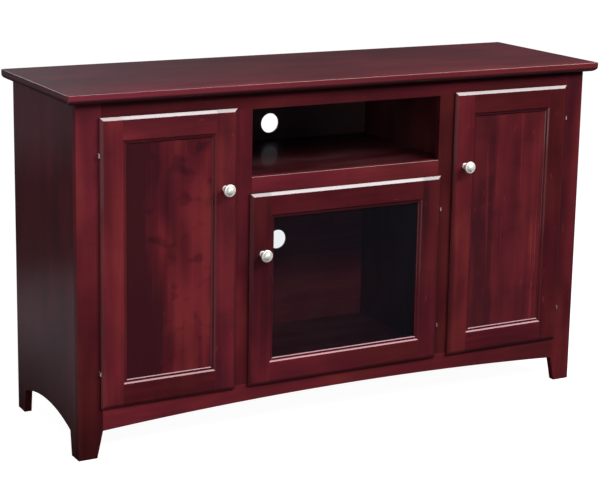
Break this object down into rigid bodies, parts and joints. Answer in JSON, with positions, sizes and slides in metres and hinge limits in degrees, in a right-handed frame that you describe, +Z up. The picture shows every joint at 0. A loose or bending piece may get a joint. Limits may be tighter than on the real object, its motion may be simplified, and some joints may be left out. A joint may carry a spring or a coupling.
{
  "type": "tv console",
  "caption": "Television console with lipped panel doors either side, an open media bay over a glass door, round metal knobs and an arched base on tapered feet.",
  "frame": {"origin": "on the floor, under the middle of the whole object's width and depth", "axes": "+X to the right seen from the front, +Y from the front to the back, +Z up"},
  "size_m": [1.524, 0.487, 0.899],
  "materials": {
    "top_wood": "dark cherry stain under a glossy lacquer",
    "side_wood": "dark cherry stain under a satin lacquer",
    "frame_wood": "dark cherry stain under a glossy lacquer",
    "rail_wood": "dark cherry stain under a glossy lacquer",
    "inside_wood": "dark cherry stain under a satin lacquer",
    "shelf_wood": "dark cherry stain under a glossy lacquer",
    "back_wood": "dark cherry stain under a satin lacquer",
    "door_stile_wood": "dark cherry stain under a glossy lacquer",
    "door_rail_wood": "dark cherry stain under a glossy lacquer",
    "panel_wood": "dark cherry stain under a glossy lacquer",
    "glass": "clear",
    "knob_nickel": "satin nickel plating",
    "hinge_nickel": "satin nickel plating",
    "steel": "zinc plated",
    "catch_plastic": "matte brown",
    "magnet": "matte",
    "bumper": "soft and clear"
  },
  "bodies": {
    "cabinet": {"top_panel": "top_wood", "left_side": "side_wood", "right_side": "side_wood", "left_stile": "frame_wood", "right_stile": "frame_wood", "left_mid_stile": "frame_wood", "right_mid_stile": "frame_wood", "top_rail": "rail_wood", "mid_rail": "rail_wood", "bottom_rail": "rail_wood", "bottom_deck": "inside_wood", "left_partition": "inside_wood", "right_partition": "inside_wood", "centre_shelf": "shelf_wood", "back_panel": "back_wood", "top_cleats": "inside_wood", "corner_blocks": "inside_wood", "left_shelf": "shelf_wood", "right_shelf": "shelf_wood", "shelf_pins": "hinge_nickel", "case_screws": "steel", "catch_bodies": "catch_plastic", "catch_magnets": "magnet", "hinge_frame_leaves": "hinge_nickel", "hinge_pins": "steel", "frame_leaf_screws": "steel"},
    "left_door": {"left_door_hinge_stile": "door_stile_wood", "left_door_knob_stile": "door_stile_wood", "left_door_top_rail": "door_rail_wood", "left_door_bottom_rail": "door_rail_wood", "left_door_panel": "panel_wood", "left_door_knob": "knob_nickel", "left_door_knob_screw": "steel", "left_door_hinge_leaves": "hinge_nickel", "left_door_screws": "steel", "left_door_strike": "steel", "left_door_bumpers": "bumper"},
    "right_door": {"right_door_hinge_stile": "door_stile_wood", "right_door_knob_stile": "door_stile_wood", "right_door_top_rail": "door_rail_wood", "right_door_bottom_rail": "door_rail_wood", "right_door_panel": "panel_wood", "right_door_knob": "knob_nickel", "right_door_knob_screw": "steel", "right_door_hinge_leaves": "hinge_nickel", "right_door_screws": "steel", "right_door_strike": "steel", "right_door_bumpers": "bumper"},
    "glass_door": {"glass_door_hinge_stile": "door_stile_wood", "glass_door_knob_stile": "door_stile_wood", "glass_door_top_rail": "door_rail_wood", "glass_door_bottom_rail": "door_rail_wood", "glass_door_pane": "glass", "glass_door_stops": "inside_wood", "glass_door_knob": "knob_nickel", "glass_door_knob_screw": "steel", "glass_door_hinge_leaves": "hinge_nickel", "glass_door_screws": "steel", "glass_door_strike": "steel", "glass_door_bumpers": "bumper"}
  },
  "joints": [
    {"name": "left_door_hinge", "type": "hinge", "parent": "cabinet", "child": "left_door", "pos_m": [-0.67765, -0.2062, 0.48205], "axis": [0, 0, -1], "range_deg": [0, 110]},
    {"name": "right_door_hinge", "type": "hinge", "parent": "cabinet", "child": "right_door", "pos_m": [0.67765, -0.2062, 0.48205], "axis": [0, 0, 1], "range_deg": [0, 110]},
    {"name": "glass_door_hinge", "type": "hinge", "parent": "cabinet", "child": "glass_door", "pos_m": [0.28115, -0.2062, 0.37345], "axis": [0, 0, 1], "range_deg": [0, 110]}
  ]
}
